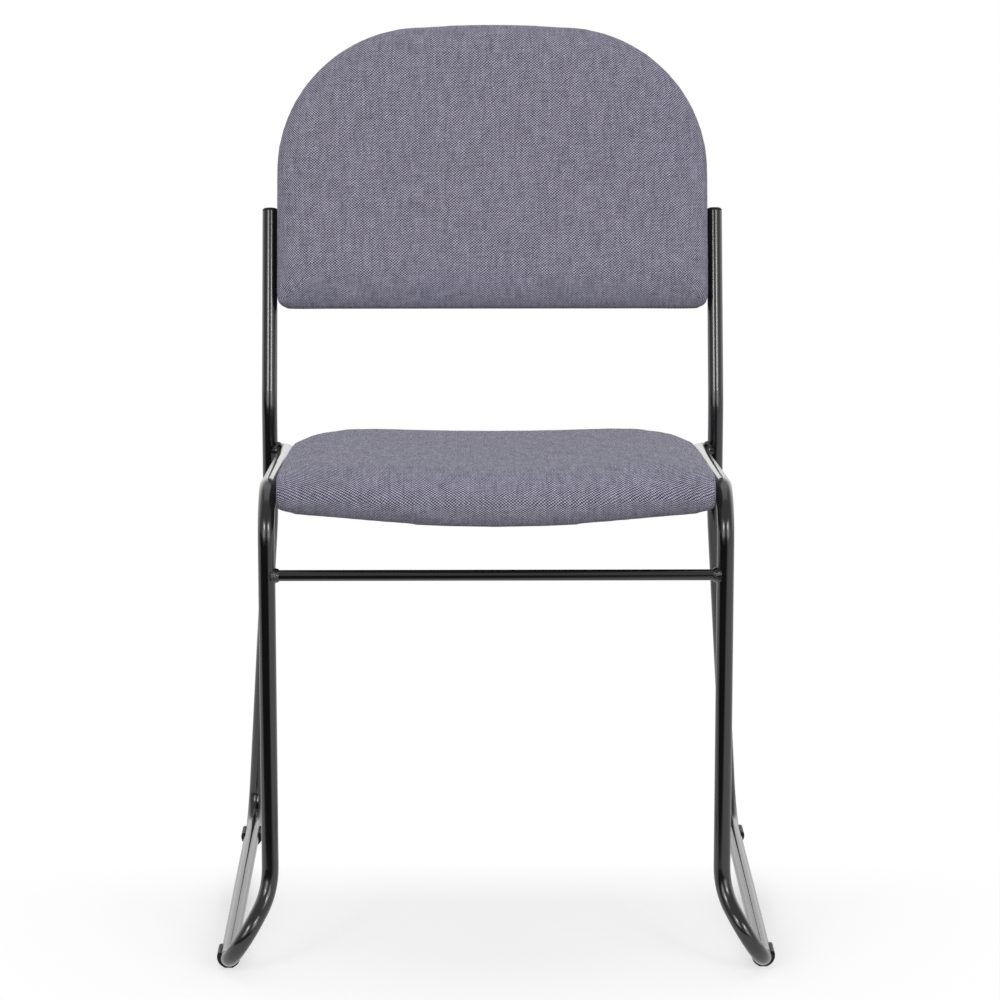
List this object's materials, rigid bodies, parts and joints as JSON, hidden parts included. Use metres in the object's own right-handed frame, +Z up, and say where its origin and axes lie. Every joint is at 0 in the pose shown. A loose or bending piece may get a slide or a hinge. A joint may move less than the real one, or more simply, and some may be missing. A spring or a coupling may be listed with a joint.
{
  "type": "visitor chair",
  "caption": "Stacking visitor chair with a bent black tube sled frame, and a seat and arched back padded in grey woven fabric",
  "frame": {"origin": "on the floor, in the middle of the chair's box", "axes": "+Z up, -Y to the front, where the sitter faces, and +X to the right as seen from the front"},
  "size_m": [0.5186, 0.5652, 0.8353],
  "materials": {
    "frame_paint": "satin black powder coat",
    "black_plastic": "moulded black, slightly dull",
    "upholstery": "mid-grey basket weave",
    "foam": "cut polyurethane foam",
    "plywood": "bare birch plywood",
    "dust_cloth": "black non-woven cloth",
    "zinc_steel": "bright zinc plate"
  },
  "bodies": {
    "root": {"side_frame_left": "frame_paint", "side_frame_right": "frame_paint", "front_stretcher": "frame_paint", "stretcher_weld_left": "frame_paint", "stretcher_weld_right": "frame_paint", "rail_weld_left": "frame_paint", "rail_weld_right": "frame_paint", "seat_strap_front": "frame_paint", "seat_strap_rear": "frame_paint", "back_bracket_left": "frame_paint", "back_bracket_right": "frame_paint", "upright_plug_left": "black_plastic", "upright_plug_right": "black_plastic", "glide_front_left": "black_plastic", "glide_front_right": "black_plastic", "glide_rear_left": "black_plastic", "glide_rear_right": "black_plastic", "seat_cover": "upholstery", "back_cover": "upholstery", "back_rear_cover": "upholstery", "seat_foam": "foam", "back_foam": "foam", "seat_board": "plywood", "back_board": "plywood", "seat_dust_cover": "dust_cloth", "seat_screws": "zinc_steel", "seat_tee_nuts": "zinc_steel", "back_screws": "zinc_steel", "back_tee_nuts": "zinc_steel"}
  },
  "joints": []
}
